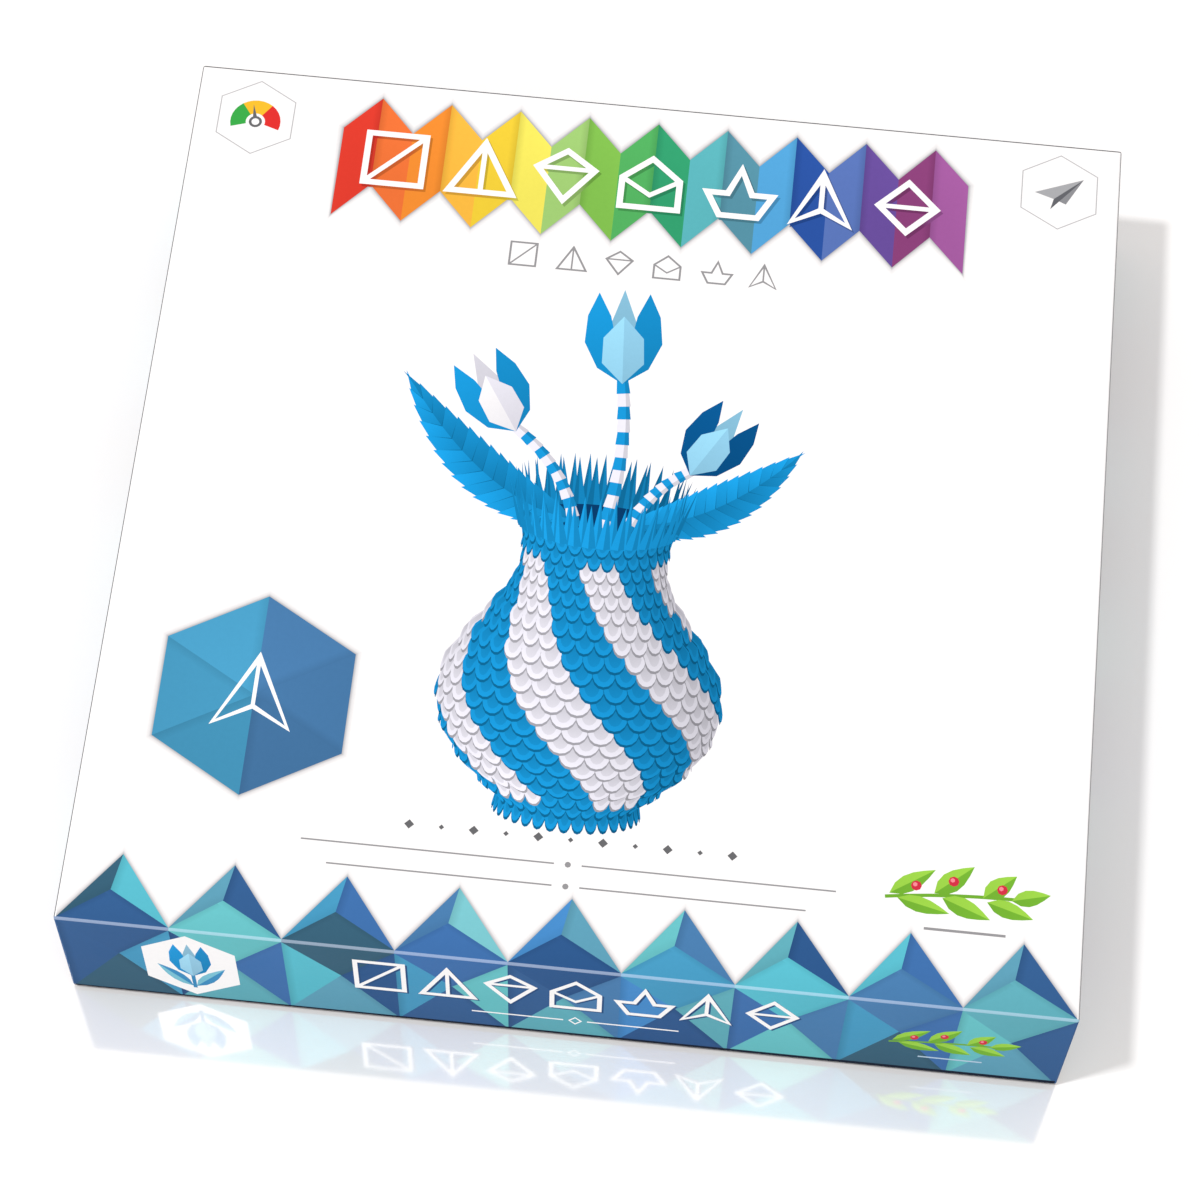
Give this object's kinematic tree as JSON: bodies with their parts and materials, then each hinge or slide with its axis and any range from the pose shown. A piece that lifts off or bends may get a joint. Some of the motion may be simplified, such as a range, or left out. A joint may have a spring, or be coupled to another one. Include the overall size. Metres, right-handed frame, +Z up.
{
  "type": "papercraft kit box",
  "caption": "Flat square gift box of wrapped board: a telescoping lid with a printed cover over a tray that holds banded paper slips, a folded leaflet and a sticker sheet.",
  "frame": {"origin": "middle of the tray's underside, on the surface that the box lies on", "axes": "+Z up through the printed cover, -Y out of the printed front wall, +X to the right of someone facing that wall"},
  "size_m": [0.25, 0.25, 0.047],
  "materials": {
    "lid_print": "white wrapping paper with a printed zigzag of blue and teal facets, satin laminate",
    "tray_wrap": "dark navy wrapping paper, matt",
    "leaflet_paper": "uncoated white paper",
    "white_slips": "uncoated white paper, cut edges",
    "blue_slips": "uncoated bright blue paper, cut edges",
    "band_paper": "plain paper band",
    "sticker_paper": "glossy white sticker sheet"
  },
  "bodies": {
    "root": {"lid": "lid_print", "tray": "tray_wrap", "instruction_leaflet": "leaflet_paper", "white_slips_1": "white_slips", "white_slips_2": "white_slips", "white_slips_3": "white_slips", "white_slips_4": "white_slips", "blue_slips_1": "blue_slips", "blue_slips_2": "blue_slips", "blue_slips_3": "blue_slips", "blue_slips_4": "blue_slips", "paper_band_1": "band_paper", "paper_band_2": "band_paper", "paper_band_3": "band_paper", "paper_band_4": "band_paper", "paper_band_5": "band_paper", "paper_band_6": "band_paper", "paper_band_7": "band_paper", "paper_band_8": "band_paper", "sticker_sheet": "sticker_paper"}
  },
  "joints": []
}
